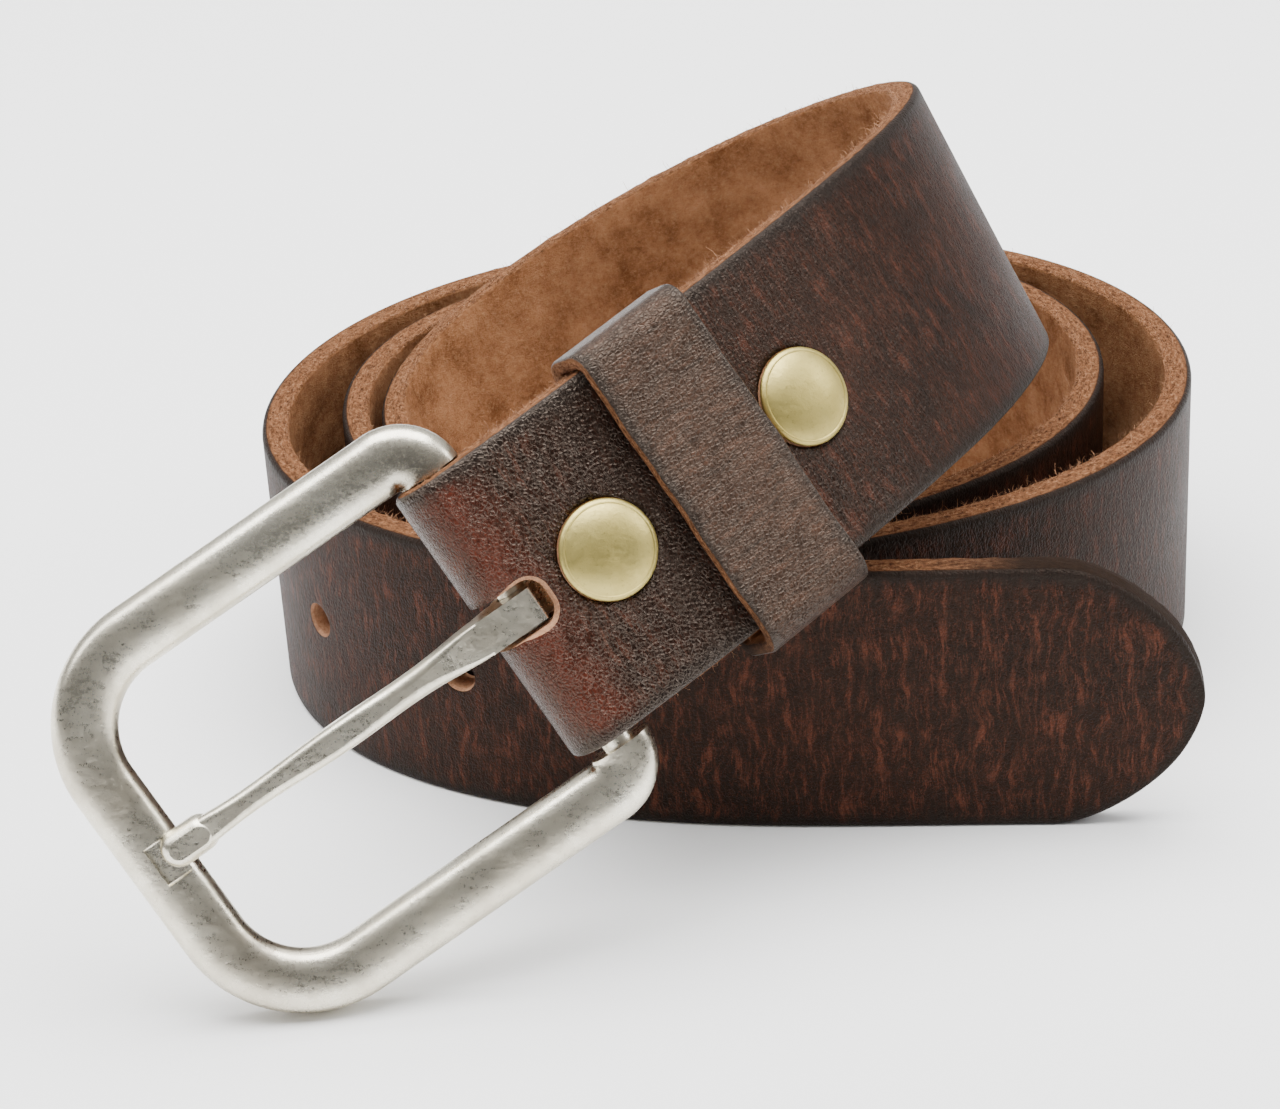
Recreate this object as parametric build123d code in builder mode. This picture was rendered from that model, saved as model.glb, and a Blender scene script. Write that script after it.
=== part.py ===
from build123d import *
import math
import os

# Leather belt, rolled up on its edge: strap, keeper loop, snap fasteners, buckle frame, bar and prong.
#
# Millimetres. The origin is on the surface that the roll stands on, +Z up. The strap's tail is on the
# outside at the front (-Y), with its tip towards +X. From the tip the strap winds clockwise, seen from
# above, through two and a half turns, lifts out over the roll and comes down to the buckle in front.

os.makedirs("parts", exist_ok=True)

# Strap
STRAP_WIDTH = 38.0
LEATHER = 3.7
STRAP_LENGTH = 1010.0  # tip to the point level with the buckle bar's axis
DOUBLED_LENGTH = 62.0  # the end that is folded round the bar and snapped to itself
BACK_LEATHER = 2.4  # the folded-back end is skived thinner
PLY_GAP = 0.1  # between the strap and its folded-back end
HALF_WIDTH = STRAP_WIDTH / 2

# Route of the strap: where the tip is, which way the strap runs from it, and how it bends.
TIP_POINT = (68.2, -37.64, HALF_WIDTH)
TIP_HEADING = 175.0  # degrees from +X
LEAD_IN = 13.0  # straight leather before the first bending station
STATION_SPACING = 25.0
# Degrees turned in one station spacing, at each station. Bending is about the strap's width.
BEND = [0, 0, 9, 15, 29, 39, 31, 24, 20, 15, 19, 29, 34, 37, 28, 14, 22, 27, 29, 33]
BEND += [39, 26, 17, 24, 37, 38, 36, 22, 24, 32, 45.5, 39.5, 34.5, 29.5, 28.5, 34.5, 43.5, 24, 11]
# The coil lies flat for its first stations. After them the strap also twists about its length, and
# its edges stretch a little, so that it bends edgewise too.
LEVEL_STATIONS = 27
TWIST = [0] * LEVEL_STATIONS + [0, 0, 1.5, -10.5, -15.5, -2.5, -4.5, -5.5, -0.5, 4.5, 5.5, 0]
EDGE_BEND = [0] * LEVEL_STATIONS + [0, -0.7, 0.5, 2, 3, -0.5, -0.5, 0.5, -0.5, 0.5, -1, 0]
LEVEL_LENGTH = LEAD_IN + LEVEL_STATIONS * STATION_SPACING
DOUBLED_START = STRAP_LENGTH - DOUBLED_LENGTH
END_RADIUS = STATION_SPACING / math.radians(BEND[-1])

# Tail holes and the slot for the prong
HOLE_RADIUS = 2.25
HOLE_SPACING = 25.0
HOLE_COUNT = 5
FIRST_HOLE = 97.5  # from the tip
SLOT_WIDTH = 6.2
SLOT_REACH = 2.7  # how far the slot runs back past the bar's axis, on the grain side
SLOT_CORNER = 2.4
SLOT_WELL = 5.6  # radius about the bar, skived out under the slot's end for the prong's base to turn in

# The fold: the leather leaves the bar at this slope, and bends back against the strap
FOLD_SLOPE = 60.0
FOLD_RETURN_RADIUS = 4.3

# Buckle
BAR_RADIUS = 2.0
FOLD_RADIUS = 2.65  # inside of the leather fold round the bar
RAIL_WIDTH = 8.0
RAIL_HEIGHT = 5.4
FRAME_HALF_WIDTH = 24.2  # to the rails' centre line
FRAME_REACH = 53.2  # bar axis to the far rail's centre line
FAR_CORNER = 13.0
NEAR_CORNER = 4.2
BAR_SOCKET_DEPTH = 2.5
FRAME_SIDE_PLAY = -0.8  # the frame has slid along its bar, towards the floor
FRAME_LIFT = -8.6  # degrees the frame is turned outwards from the strap's end, resting on the surface
EYE_INNER = 2.3
EYE_OUTER = 3.3
EYE_WIDTH = 4.4
PRONG_WIDTH = 4.4
PRONG_REACH = 52.2
PRONG_TOP = 5.05  # of its flat base, above the bar's axis
PRONG_SIDE_PLAY = -0.3
PRONG_SEAT = 2.0  # height of the seat in the far rail

# Keeper loop
KEEPER_WIDTH = 16.0
KEEPER_LEATHER = 1.8
KEEPER_CENTRE = 981.0  # along the strap, from the tip
KEEPER_SLACK_ACROSS = 0.45
KEEPER_SLACK_THICK = 0.45
KEEPER_JOINT_GAP = 0.4

# Snap fasteners, front one and rear one, by their distance from the tip
SNAP_STATIONS = {"snap_front": 998.5, "snap_rear": 966.3}
CAP_RADIUS = 6.15
CAP_HEIGHT = 1.9
CAP_SEAT = 0.15  # how far the cap is pressed into the grain
SOCKET_RADIUS = 5.0
SOCKET_TOP = 1.6  # depth of the socket's upper face below the grain
STUD_RADIUS = 4.2
PIN_RADIUS = 1.25
FIT = 0.05

STEP = 2.5
RISE_SECTIONS = 26


def rate(schedule, s):
    """A schedule's value at distance s from the tip, between its stations."""
    place = max(0.0, (s - LEAD_IN) / STATION_SPACING)
    index = min(int(place), len(schedule) - 2)
    share = min(place - index, 1.0)
    return schedule[index] * (1 - share) + schedule[index + 1] * share


def advance(s, centre, tangent, width_way, length):
    """The strap's centre, tangent and width direction a short length further on."""
    middle = s + length / 2
    doubled = middle > DOUBLED_START
    bend = BEND[-1] if doubled else rate(BEND, middle)
    twist = 0 if doubled else rate(TWIST, middle)
    edge = 0 if doubled else rate(EDGE_BEND, middle)
    normal = width_way.cross(tangent)
    turn = (tangent * twist + normal * edge - width_way * bend) * (length / STATION_SPACING)
    if turn.length < 1e-9:
        return centre + tangent * length, tangent, width_way
    axis = Axis((0, 0, 0), turn)
    centre = centre + tangent.rotate(axis, turn.length / 2) * length
    return centre, tangent.rotate(axis, turn.length), width_way.rotate(axis, turn.length)


def walk_route():
    heading = math.radians(TIP_HEADING)
    place = (Vector(*TIP_POINT), Vector(math.cos(heading), math.sin(heading), 0), Vector(0, 0, 1))
    places = [place]
    for index in range(round(STRAP_LENGTH / STEP)):
        place = advance(index * STEP, *place, STEP)
        places.append(place)
    return places


ROUTE = walk_route()


def station(s):
    """Centre of the grain face, tangent, outward normal and width direction at distance s."""
    index = min(int(s / STEP), len(ROUTE) - 1)
    centre, tangent, width_way = advance(index * STEP, *ROUTE[index], s - index * STEP)
    return centre, tangent, width_way.cross(tangent), width_way


def outward_plane(s):
    """Plane on the grain face: x along the strap towards the buckle, z outwards."""
    centre, tangent, normal, _ = station(s)
    return Plane(origin=centre, x_dir=tangent, z_dir=normal)


def side_plane(s):
    """Plane through the middle of the strap's width: x along the strap, y outwards."""
    centre, tangent, _, width_way = station(s)
    return Plane(origin=centre, x_dir=tangent, z_dir=width_way)


def section_plane(s):
    """Plane across the strap, origin in the middle of the leather: x up the width, y outwards."""
    centre, tangent, normal, width_way = station(s)
    return Plane(origin=centre - normal * (LEATHER / 2), x_dir=width_way, z_dir=-tangent)


TIP_END = 24.0  # the strap is straight and full width from here
TIP_OUTLINE = [(20, -19), (13.4, -17.2), (8.8, -13.6), (4.4, -8.9), (1.2, 0)]
TIP_OUTLINE += [(4.4, 8.9), (8.8, 13.6), (13.4, 17.2), (20, 19)]

# The bar's axis, and the frame's own directions: forward from the bar, and out of its front face
BAR_STATION = station(STRAP_LENGTH)
BAR_TANGENT, BAR_NORMAL, BAR_DIRECTION = BAR_STATION[1:]
BAR_ORIGIN = BAR_STATION[0] - BAR_NORMAL * (LEATHER + FOLD_RADIUS)
FRAME_FORWARD = BAR_TANGENT.rotate(Axis((0, 0, 0), BAR_DIRECTION), FRAME_LIFT)
FRAME_FRONT = BAR_DIRECTION.cross(FRAME_FORWARD)
FRAME_SIDEWAYS = FRAME_FRONT.cross(FRAME_FORWARD)
FRAME_ORIGIN = BAR_ORIGIN + BAR_DIRECTION * FRAME_SIDE_PLAY
FRAME_PLANE = Plane(origin=FRAME_ORIGIN, x_dir=FRAME_FORWARD, z_dir=-FRAME_FRONT)
PRONG_ORIGIN = BAR_ORIGIN + BAR_DIRECTION * PRONG_SIDE_PLAY


def frame_point(forward, across, front):
    return FRAME_ORIGIN + FRAME_FORWARD * forward + BAR_DIRECTION * across + FRAME_FRONT * front


def prong_plane(reach, height):
    origin = PRONG_ORIGIN + FRAME_FORWARD * reach + FRAME_FRONT * height
    return Plane(origin=origin, x_dir=FRAME_SIDEWAYS, z_dir=FRAME_FORWARD)


RAIL_OUTLINE = [(4.0, 0), (3.25, 1.85), (0, 2.7), (-3.25, 1.85), (-4.0, 0)]
RAIL_OUTLINE += [(-3.25, -1.85), (0, -2.7), (3.25, -1.85)]
BASE_OUTLINE = [(-2.0, 0.4), (-2.0, PRONG_TOP), (6.1, PRONG_TOP), (6.1, 0.9), (4.0, -0.4)]
# Shank sections: distance from the bar, width, height, height of the middle and share of rounding
SHANK_SECTIONS = [(5.0, 4.36, 4.1, 2.97, 0.1), (8.5, 4.3, 3.9, 2.93, 0.16), (12, 3.9, 3.2, 2.9, 0.34)]
SHANK_SECTIONS += [(22, 3.7, 2.8, 3.0, 0.42), (33, 3.4, 2.5, 3.05, 0.42), (42, 3.1, 2.3, 3.1, 0.42)]
SHANK_SECTIONS += [(46, 3.6, 2.1, 3.1, 0.42)]
SPADE_START = 44.6
SPADE_WIDTH = 4.6
SPADE_LEVELS = [(1.9, 0), (3.3, 0.15), (4.3, 1.1)]  # height and inset from its outline

KEEPER_STATION = station(KEEPER_CENTRE)
DOUBLE_THICK = LEATHER + PLY_GAP + BACK_LEATHER
KEEPER_INNER = (STRAP_WIDTH + 2 * KEEPER_SLACK_ACROSS, DOUBLE_THICK + 2 * KEEPER_SLACK_THICK)
KEEPER_MIDDLE = -DOUBLE_THICK / 2
KEEPER_BACK = -DOUBLE_THICK - KEEPER_SLACK_THICK  # height of its inner face behind the strap
KEEPER_PLANE = Plane(origin=KEEPER_STATION[0], x_dir=KEEPER_STATION[3], z_dir=-KEEPER_STATION[1])
STAPLE_PLACES = (-4.0, 4.0)
STAPLE_HALF = 3.0
STAPLE_RADIUS = 0.4


def keeper_back_plane(along, out):
    """Plane behind the keeper's inner back face: x across the strap, z towards the strap."""
    centre, tangent, normal, width_way = KEEPER_STATION
    origin = centre + tangent * along + normal * (KEEPER_BACK - out)
    return Plane(origin=origin, x_dir=width_way, z_dir=normal)


# Snap bores in the strap: radius, height of the start and height of the end, from the grain
SNAP_BORES = [
    (CAP_RADIUS + 0.1, 1.0, -CAP_SEAT),
    (1.65, 0.5, -2.0),
    (SOCKET_RADIUS + FIT, -SOCKET_TOP, -3.75),
    (STUD_RADIUS + FIT, -3.74, -4.4),
    (PIN_RADIUS + FIT, -4.3, -6.3),
    (STUD_RADIUS + FIT, -6.1, -7.5),
]


# ---------------------------------------------------------------- strap
END_PLANE = side_plane(DOUBLED_START)
END_ANGLE = math.degrees(DOUBLED_LENGTH / END_RADIUS)
FLESH_RADIUS = END_RADIUS - LEATHER
BACK_RADIUS = FLESH_RADIUS - PLY_GAP
TAIL_START = math.degrees(2.0 / END_RADIUS)

# In the end's own plane: the bend's centre, the bar, and the centre of the return bend
BEND_CENTRE = Vector(0, -END_RADIUS)
BAR_CENTRE = BEND_CENTRE + Vector(0, FLESH_RADIUS - FOLD_RADIUS).rotate(Axis.Z, -END_ANGLE)
CLIMB = Vector(-1, 0).rotate(Axis.Z, -END_ANGLE - FOLD_SLOPE)
BESIDE = CLIMB.rotate(Axis.Z, 90)
FOLD_FOOT = BAR_CENTRE + BESIDE * (FOLD_RADIUS + FOLD_RETURN_RADIUS) - BEND_CENTRE
ALONG = FOLD_FOOT.dot(CLIMB)
RETURN_DISTANCE = BACK_RADIUS - FOLD_RETURN_RADIUS
CLIMB_LENGTH = math.sqrt(ALONG**2 - FOLD_FOOT.length**2 + RETURN_DISTANCE**2) - ALONG
RETURN_CENTRE = BEND_CENTRE + FOLD_FOOT + CLIMB * CLIMB_LENGTH


def polar(vector):
    return math.degrees(math.atan2(vector.Y, vector.X))


def doubled_face(depth, back_depth):
    """One face of the doubled end: the flesh face at depth 0, the grain face at the leather's depth.

    The leather gets thinner as it goes round the bar, so the grain's bend has its centre off the bar.
    """
    off_centre = (depth - back_depth) / (1 + math.cos(math.radians(FOLD_SLOPE)))
    wrap_centre = BAR_CENTRE + Vector(0, off_centre).rotate(Axis.Z, -END_ANGLE)
    return_angle = polar(RETURN_CENTRE - BEND_CENTRE)
    leave_angle = polar(BESIDE * -1)
    return_turn = (return_angle - leave_angle) % 360
    over = CenterArc(BEND_CENTRE, FLESH_RADIUS + depth, 90, -END_ANGLE)
    wrap_radius = FOLD_RADIUS + depth - off_centre
    wrap = CenterArc(wrap_centre, wrap_radius, 90 - END_ANGLE, -180 - FOLD_SLOPE)
    turn_back = CenterArc(RETURN_CENTRE, FOLD_RETURN_RADIUS - back_depth, leave_angle, return_turn)
    Line(wrap @ 1, turn_back @ 0)
    back = CenterArc(BEND_CENTRE, BACK_RADIUS - back_depth, return_angle, 90 - TAIL_START - return_angle)
    return over @ 0, back @ 1


with BuildPart() as belt_strap:
    # the pointed tip
    with BuildSketch(outward_plane(0)):
        with BuildLine():
            Spline(*TIP_OUTLINE)
            Polyline(TIP_OUTLINE[-1], (TIP_END, HALF_WIDTH), (TIP_END, -HALF_WIDTH), TIP_OUTLINE[0])
        make_face()
    extrude(amount=-LEATHER)

    # the coil, standing on its edge
    stations = [station(s) for s in range(int(TIP_END), int(LEVEL_LENGTH), 12)]
    stations.append(station(LEVEL_LENGTH))
    outside = [(centre.X, centre.Y) for centre, _, _, _ in stations]
    inner = [centre - normal * LEATHER for centre, _, normal, _ in stations]
    inside = [(point.X, point.Y) for point in inner]
    with BuildSketch(Plane.XY):
        with BuildLine():
            grain = Spline(*outside)
            flesh = Spline(*inside)
            Line(grain @ 0, flesh @ 0)
            Line(grain @ 1, flesh @ 1)
        make_face()
    extrude(amount=STRAP_WIDTH)

    # the rising part, lofted through sections across the strap
    for index in range(RISE_SECTIONS + 1):
        s = LEVEL_LENGTH + (DOUBLED_START - LEVEL_LENGTH) * index / RISE_SECTIONS
        with BuildSketch(section_plane(s)):
            Rectangle(STRAP_WIDTH, LEATHER)
    loft()

    # the doubled end: over the bar, round it and back under the strap
    with BuildSketch(END_PLANE):
        with BuildLine():
            flesh_start, flesh_end = doubled_face(0, 0)
            grain_start, grain_end = doubled_face(LEATHER, BACK_LEATHER)
            Line(flesh_start, grain_start)
            Line(flesh_end, grain_end)
        make_face()
    extrude(amount=HALF_WIDTH, both=True)

    # prong slot through the fold, with a well skived under its end
    bar_plane = Plane(origin=BAR_ORIGIN, x_dir=BAR_TANGENT, z_dir=BAR_NORMAL)
    with BuildSketch(bar_plane):
        with Locations((-SLOT_REACH, 0)):
            RectangleRounded(30, SLOT_WIDTH, SLOT_CORNER, align=(Align.MIN, Align.CENTER))
    extrude(amount=FOLD_RADIUS + LEATHER + 1, mode=Mode.SUBTRACT)
    with BuildSketch(bar_plane.offset(FOLD_RADIUS - 0.2)):
        with Locations((-SLOT_WELL, 0)):
            Rectangle(30, SLOT_WIDTH, align=(Align.MIN, Align.CENTER))
    extrude(amount=-12, mode=Mode.SUBTRACT)
    with BuildSketch(Plane(origin=BAR_ORIGIN, x_dir=BAR_TANGENT, z_dir=BAR_DIRECTION)):
        Circle(SLOT_WELL)
    extrude(amount=SLOT_WIDTH / 2, both=True, mode=Mode.SUBTRACT)

    # tail holes, through the outer turn only
    for index in range(HOLE_COUNT):
        with BuildSketch(outward_plane(FIRST_HOLE + index * HOLE_SPACING).offset(0.5)):
            Circle(HOLE_RADIUS)
        extrude(amount=-LEATHER - 0.7, mode=Mode.SUBTRACT)

    # seats and holes for the snap fasteners, as (radius, outermost height, innermost height)
    for place in SNAP_STATIONS.values():
        for radius, top, bottom in SNAP_BORES:
            with BuildSketch(outward_plane(place).offset(top)):
                Circle(radius)
            extrude(amount=bottom - top, mode=Mode.SUBTRACT)


# ---------------------------------------------------------------- buckle
with BuildPart() as buckle_frame:
    with BuildLine(FRAME_PLANE) as frame_path:
        near = FRAME_HALF_WIDTH - NEAR_CORNER
        far = FRAME_HALF_WIDTH - FAR_CORNER
        turn_in = FRAME_REACH - FAR_CORNER
        JernArc((0, near), (0, 1), NEAR_CORNER, -90)
        Line((NEAR_CORNER, FRAME_HALF_WIDTH), (turn_in, FRAME_HALF_WIDTH))
        JernArc((turn_in, FRAME_HALF_WIDTH), (1, 0), FAR_CORNER, -90)
        Line((FRAME_REACH, far), (FRAME_REACH, -far))
        JernArc((FRAME_REACH, -far), (0, -1), FAR_CORNER, -90)
        Line((turn_in, -FRAME_HALF_WIDTH), (NEAR_CORNER, -FRAME_HALF_WIDTH))
        JernArc((NEAR_CORNER, -FRAME_HALF_WIDTH), (-1, 0), NEAR_CORNER, -90)
    with BuildSketch(Plane(origin=frame_point(0, near, 0), x_dir=FRAME_FORWARD, z_dir=BAR_DIRECTION)):
        with BuildLine():
            Spline(*RAIL_OUTLINE, periodic=True)
        make_face()
    sweep(path=frame_path.wires()[0])
    for way in (1, -1):
        face = frame_point(0, way * near, 0)
        with BuildSketch(Plane(origin=face, x_dir=FRAME_FORWARD, z_dir=BAR_DIRECTION * way)):
            Circle(BAR_RADIUS)
        extrude(amount=BAR_SOCKET_DEPTH, mode=Mode.SUBTRACT)
    seat_start = frame_point(FRAME_REACH - RAIL_WIDTH / 2 - 1, 0, PRONG_SEAT)
    with BuildSketch(Plane(origin=seat_start, x_dir=FRAME_SIDEWAYS, z_dir=FRAME_FORWARD)):
        with Locations((0, 2)):
            RectangleRounded(PRONG_WIDTH + 1.0, 4, 0.3)
    extrude(amount=5.4, mode=Mode.SUBTRACT)

with BuildPart() as heel_bar:
    bar_length = 2 * (FRAME_HALF_WIDTH - NEAR_CORNER + BAR_SOCKET_DEPTH)
    with BuildSketch(Plane(origin=frame_point(0, 0, 0), x_dir=FRAME_FORWARD, z_dir=BAR_DIRECTION)):
        Circle(BAR_RADIUS)
    extrude(amount=bar_length / 2, both=True)

with BuildPart() as buckle_prong:
    # a flat-topped base round the bar
    with BuildSketch(Plane(origin=PRONG_ORIGIN, x_dir=FRAME_FORWARD, z_dir=BAR_DIRECTION)):
        with BuildLine():
            FilletPolyline(*BASE_OUTLINE, radius=0.5, close=True)
        make_face()
    extrude(amount=PRONG_WIDTH / 2, both=True)
    with BuildSketch(Plane(origin=PRONG_ORIGIN, x_dir=FRAME_FORWARD, z_dir=BAR_DIRECTION)):
        Circle(EYE_OUTER)
    extrude(amount=EYE_WIDTH / 2, both=True)
    # the shank, tapering to a flat spade that rests on the far rail
    for reach, width, height, middle, rounding in SHANK_SECTIONS:
        with BuildSketch(prong_plane(reach, middle)):
            RectangleRounded(width, height, min(width, height) * rounding)
    loft()
    for height, inset in SPADE_LEVELS:
        spade_origin = PRONG_ORIGIN + FRAME_FRONT * height
        with BuildSketch(Plane(origin=spade_origin, x_dir=FRAME_FORWARD, z_dir=FRAME_FRONT)):
            with Locations(((SPADE_START + PRONG_REACH) / 2, 0)):
                SlotOverall(PRONG_REACH - SPADE_START - 2 * inset, SPADE_WIDTH - 2 * inset)
    loft()
    with BuildSketch(Plane(origin=PRONG_ORIGIN, x_dir=FRAME_FORWARD, z_dir=FRAME_FRONT)):
        with Locations((SPADE_START - 1, 0)):
            Rectangle(20, 10, align=(Align.MIN, Align.CENTER))
    extrude(amount=PRONG_SEAT + 0.1, mode=Mode.SUBTRACT)
    with BuildSketch(Plane(origin=PRONG_ORIGIN, x_dir=FRAME_FORWARD, z_dir=BAR_DIRECTION)):
        Circle(EYE_INNER)
    extrude(amount=PRONG_WIDTH, both=True, mode=Mode.SUBTRACT)


# ---------------------------------------------------------------- keeper loop
with BuildPart() as keeper_loop:
    with BuildSketch(KEEPER_PLANE):
        with Locations((0, KEEPER_MIDDLE)):
            RectangleRounded(KEEPER_INNER[0] + 2 * KEEPER_LEATHER, KEEPER_INNER[1] + 2 * KEEPER_LEATHER, 2.8)
            RectangleRounded(*KEEPER_INNER, 0.5, mode=Mode.SUBTRACT)
        with Locations((0, KEEPER_BACK)):
            Rectangle(KEEPER_JOINT_GAP, 2 * KEEPER_LEATHER + 1, mode=Mode.SUBTRACT)
    extrude(amount=KEEPER_WIDTH / 2, both=True)
    for along in STAPLE_PLACES:
        with BuildSketch(keeper_back_plane(along, KEEPER_LEATHER + 1)):
            with Locations((STAPLE_HALF, 0), (-STAPLE_HALF, 0)):
                Circle(STAPLE_RADIUS)
        extrude(amount=KEEPER_LEATHER + 1, mode=Mode.SUBTRACT)

with BuildPart() as keeper_staples:
    for along in STAPLE_PLACES:
        crown = keeper_back_plane(along, KEEPER_LEATHER + STAPLE_RADIUS)
        with BuildSketch(crown):
            with Locations((STAPLE_HALF, 0), (-STAPLE_HALF, 0)):
                Circle(STAPLE_RADIUS)
        extrude(amount=KEEPER_LEATHER + STAPLE_RADIUS)
        start = crown.from_local_coords(Vector(-STAPLE_HALF, 0, 0))
        with BuildSketch(Plane(origin=start, x_dir=crown.y_dir, z_dir=crown.x_dir)):
            Circle(STAPLE_RADIUS)
        extrude(amount=2 * STAPLE_HALF)


# ---------------------------------------------------------------- snap fasteners
def turned(place, outline):
    """Solid of revolution about the snap's axis; outline is (radius, height above the grain) pairs."""
    centre, tangent, normal, width_way = station(place)
    with BuildPart() as piece:
        with BuildSketch(Plane(origin=centre, x_dir=tangent, z_dir=width_way)):
            with BuildLine():
                Polyline(*outline, close=True)
            make_face()
        revolve(axis=Axis(centre, normal))
    return piece


def snap_cap(place):
    """Domed cap with a rolled rim; its hollow barrel goes through the leather and is flared inside."""
    centre, tangent, normal, width_way = station(place)
    barrel, bore, flare = 1.6, 1.1, 2.1
    with BuildPart() as piece:
        with BuildSketch(Plane(origin=centre, x_dir=tangent, z_dir=width_way)):
            with BuildLine():
                Line((0, CAP_HEIGHT), (0, -CAP_SEAT + 0.3))
                Line((0, -CAP_SEAT + 0.3), (bore, -CAP_SEAT + 0.3))
                Line((bore, -CAP_SEAT + 0.3), (bore, -2.2))
                Polyline((bore, -2.2), (flare, -2.2), (flare, -2.0), (barrel, -2.0), (barrel, -CAP_SEAT))
                Line((barrel, -CAP_SEAT), (CAP_RADIUS - 0.4, -CAP_SEAT))
                Spline((CAP_RADIUS - 0.4, -CAP_SEAT), (CAP_RADIUS, 0.3), (CAP_RADIUS - 0.4, 0.8))
                Polyline((CAP_RADIUS - 0.4, 0.8), (CAP_RADIUS - 0.5, 0.84), (CAP_RADIUS - 0.68, 0.76))
                Spline((CAP_RADIUS - 0.68, 0.76), (3.2, 1.6), (0, CAP_HEIGHT), tangents=((-1, 0.6), (-1, 0)))
            make_face()
        revolve(axis=Axis(centre, normal))
    return piece


SOCKET_OUTLINE = [(1.65, -1.6), (5.0, -1.6), (5.0, -3.65), (2.55, -3.65), (2.55, -3.45), (2.95, -3.35)]
SOCKET_OUTLINE += [(2.95, -2.75), (2.55, -2.65), (2.55, -2.0), (1.65, -2.0)]
STUD_OUTLINE = [(1.3, -4.4), (4.2, -4.4), (4.2, -3.8), (1.75, -3.8), (1.7, -3.1), (2.2, -2.85)]
STUD_OUTLINE += [(2.1, -2.6), (1.3, -2.55)]
POST_OUTLINE = [(0, -6.75), (4.2, -6.75), (4.2, -6.1), (1.25, -6.1), (1.25, -2.55), (1.6, -2.55)]
POST_OUTLINE += [(1.5, -2.35), (0, -2.35)]


def snap_spring(place):
    """Open wire ring in the socket's groove, closed behind the stud's head."""
    centre, tangent, normal, _ = station(place)
    ring = Plane(origin=centre - normal * 3.05, x_dir=tangent, z_dir=normal)
    with BuildPart() as piece:
        with BuildLine(ring):
            path = CenterArc((0, 0), 2.35, 20, 320)
        with BuildSketch(Plane(origin=path @ 0, z_dir=path % 0)):
            Circle(0.25)
        sweep(path=path)
    return piece


nodes = {
    "belt_strap": belt_strap,
    "buckle_frame": buckle_frame,
    "heel_bar": heel_bar,
    "buckle_prong": buckle_prong,
    "keeper_loop": keeper_loop,
    "keeper_staples": keeper_staples,
}
for snap, place in SNAP_STATIONS.items():
    nodes[snap + "_cap"] = snap_cap(place)
    nodes[snap + "_socket"] = turned(place, SOCKET_OUTLINE)
    nodes[snap + "_spring"] = snap_spring(place)
    nodes[snap + "_stud"] = turned(place, STUD_OUTLINE)
    nodes[snap + "_post"] = turned(place, POST_OUTLINE)

for node, built in nodes.items():
    built.part.label = node
    export_step(built.part, "parts/" + node + ".step")
    size = built.part.bounding_box()
    print(node, len(built.part.solids()), built.part.is_valid, round(built.part.volume, 1), size.min, size.max)
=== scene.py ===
import math

import bpy
import numpy as np
from mathutils import Matrix, Vector


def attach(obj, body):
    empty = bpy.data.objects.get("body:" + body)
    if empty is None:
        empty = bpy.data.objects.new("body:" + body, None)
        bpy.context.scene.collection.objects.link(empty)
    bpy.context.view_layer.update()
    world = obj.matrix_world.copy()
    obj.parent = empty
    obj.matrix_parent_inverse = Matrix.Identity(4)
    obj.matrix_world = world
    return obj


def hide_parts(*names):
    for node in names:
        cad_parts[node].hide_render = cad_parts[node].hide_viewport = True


# A leather belt, loosely rolled and standing on its edge. The strap, its loose fibres and the keeper are
# meshes made here, and the metal pieces keep their CAD shape. Lengths are in mm until a mesh is made.

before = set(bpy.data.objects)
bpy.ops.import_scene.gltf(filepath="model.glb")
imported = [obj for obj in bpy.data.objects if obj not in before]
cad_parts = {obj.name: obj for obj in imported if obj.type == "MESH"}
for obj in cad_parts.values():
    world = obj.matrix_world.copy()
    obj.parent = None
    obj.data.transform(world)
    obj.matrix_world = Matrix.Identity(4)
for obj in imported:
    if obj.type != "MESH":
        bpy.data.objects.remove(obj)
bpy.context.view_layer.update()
MM = 0.001

# ---------------------------------------------------------------- the strap's route, as in the CAD
WIDTH = 38.0
HALF = WIDTH / 2
LEATHER = 3.7
BACK_LEATHER = 2.4
PLY_GAP = 0.1
LENGTH = 1010.0
DOUBLED = 62.0
SPACING = 25.0
LEAD_IN = 13.0
STEP = 1.25
TIP_POINT = np.array([68.2, -37.64, HALF])
TIP_HEADING = math.radians(175)
BEND = [0, 0, 9, 15, 29, 39, 31, 24, 20, 15, 19, 29, 34, 37, 28, 14, 22, 27, 29, 33]
BEND += [39, 26, 17, 24, 37, 38, 36, 22, 24, 32, 45.5, 39.5, 34.5, 29.5, 28.5, 34.5, 43.5, 24, 11]
LEVEL = 27
TWIST = [0] * LEVEL + [0, 0, 1.5, -10.5, -15.5, -2.5, -4.5, -5.5, -0.5, 4.5, 5.5, 0]
EDGE = [0] * LEVEL + [0, -0.7, 0.5, 2, 3, -0.5, -0.5, 0.5, -0.5, 0.5, -1, 0]
FOLD_RADIUS = 2.65
FOLD_SLOPE = math.radians(60)
FOLD_RETURN = 4.3
TIP_LENGTH = 20.0
TIP_OUTLINE = [(1.2, 0), (1.6, 2.9), (2.7, 6.0), (4.25, 8.9), (6.3, 11.5), (8.7, 13.8)]
TIP_OUTLINE += [(11.2, 15.7), (13.9, 17.3), (16.8, 18.5), (TIP_LENGTH, HALF)]
UP = np.array([0.0, 0.0, 1.0])


def turn(vector, spin):
    """The vector turned by the rotation vector spin."""
    angle = np.linalg.norm(spin)
    if angle < 1e-12:
        return vector
    axis = spin / angle
    across = np.cross(axis, vector)
    along = axis * (axis @ vector)
    return vector * math.cos(angle) + across * math.sin(angle) + along * (1 - math.cos(angle))


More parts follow.
